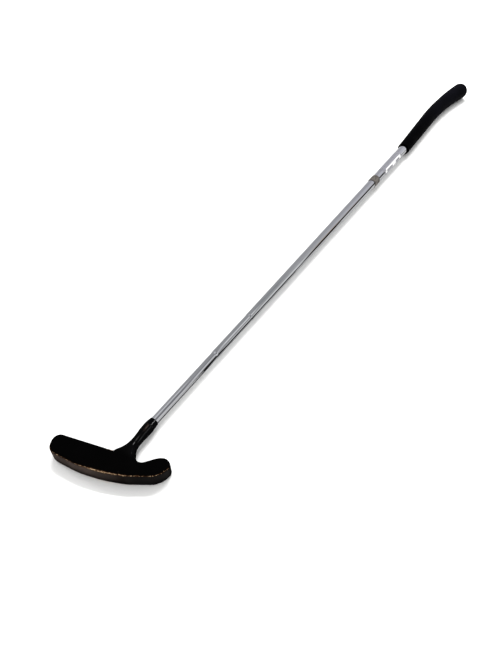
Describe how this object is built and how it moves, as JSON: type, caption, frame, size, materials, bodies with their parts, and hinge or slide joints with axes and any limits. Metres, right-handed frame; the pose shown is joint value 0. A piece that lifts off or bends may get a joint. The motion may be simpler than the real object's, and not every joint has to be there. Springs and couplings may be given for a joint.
{
  "type": "golf putter",
  "caption": "Worn two-way blade putter with a black painted head, stepped chrome shaft and bent black rubber grip.",
  "frame": {"origin": "middle of the footprint, on the floor that the putter lies on", "axes": "+Y up the shaft towards the grip, +X towards the heel, +Z away from the floor"},
  "size_m": [0.114, 0.9234, 0.0254],
  "materials": {
    "casting_paint": "worn semi-matte black paint over a brass casting",
    "ferrule_plastic": "glossy black plastic",
    "bond": "cured epoxy",
    "shaft_chrome": "chromed steel with light wear",
    "ring_tape": "worn cloth tape",
    "label_film": "printed film, bare of words",
    "under_grip_tape": "double-sided paper tape",
    "grip_rubber": "matte black moulded rubber",
    "cap_rubber": "matte black moulded rubber"
  },
  "bodies": {
    "root": {"head_casting": "casting_paint", "ferrule": "ferrule_plastic", "epoxy_bond": "bond", "shaft_tube": "shaft_chrome", "tape_ring": "ring_tape", "shaft_label": "label_film", "grip_tape": "under_grip_tape", "grip_sleeve": "grip_rubber", "grip_cap": "cap_rubber"}
  },
  "joints": []
}
